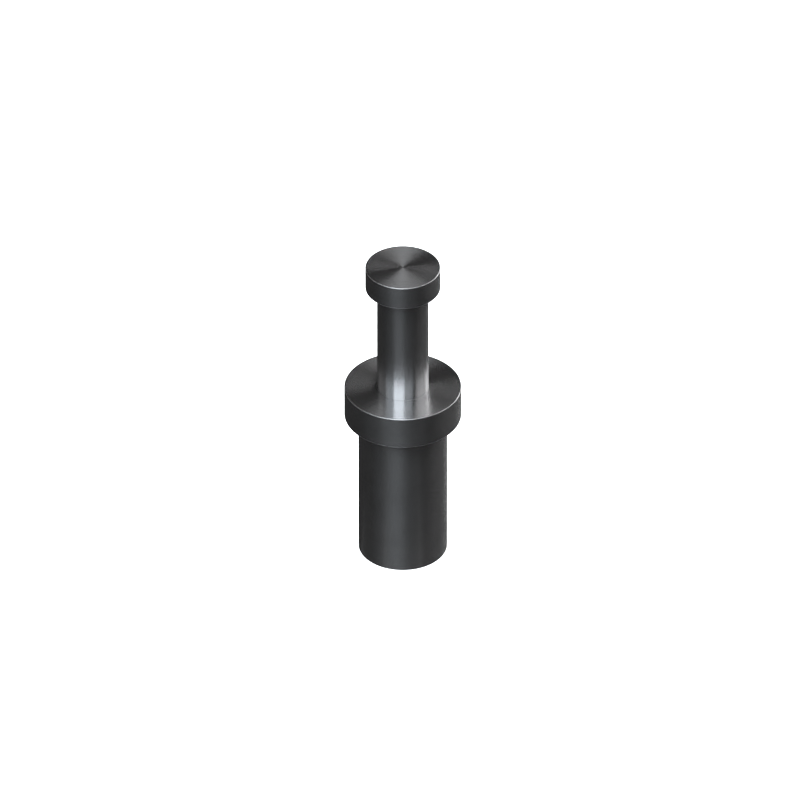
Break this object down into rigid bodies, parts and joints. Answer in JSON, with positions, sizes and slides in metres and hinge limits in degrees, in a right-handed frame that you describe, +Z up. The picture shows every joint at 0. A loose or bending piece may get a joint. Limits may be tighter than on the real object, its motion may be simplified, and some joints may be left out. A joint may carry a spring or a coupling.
{
  "type": "quick change tool post",
  "caption": "Headed steel post for quick change tools: flat head and slim neck for a forked tool, wide collar to sit on, plain shank for a bore, drawn together by a screw inside.",
  "frame": {"origin": "on the axis in the plane of the collar's underside, the face that the post seats on", "axes": "+Z up the axis from the shank to the head; +X and +Y across the axis, with +X through the split of the spring washer"},
  "size_m": [0.025, 0.025, 0.0725],
  "materials": {
    "blacked_steel": "turned steel with a satin black oxide, lightly oiled",
    "blacked_screw": "black oxide on a forged and turned screw",
    "plated_washer": "bright zinc plate"
  },
  "bodies": {
    "root": {"headed_stud": "blacked_steel", "flanged_sleeve": "blacked_steel", "draw_screw": "blacked_screw", "lock_washer": "plated_washer", "plain_washer": "plated_washer"}
  },
  "joints": []
}
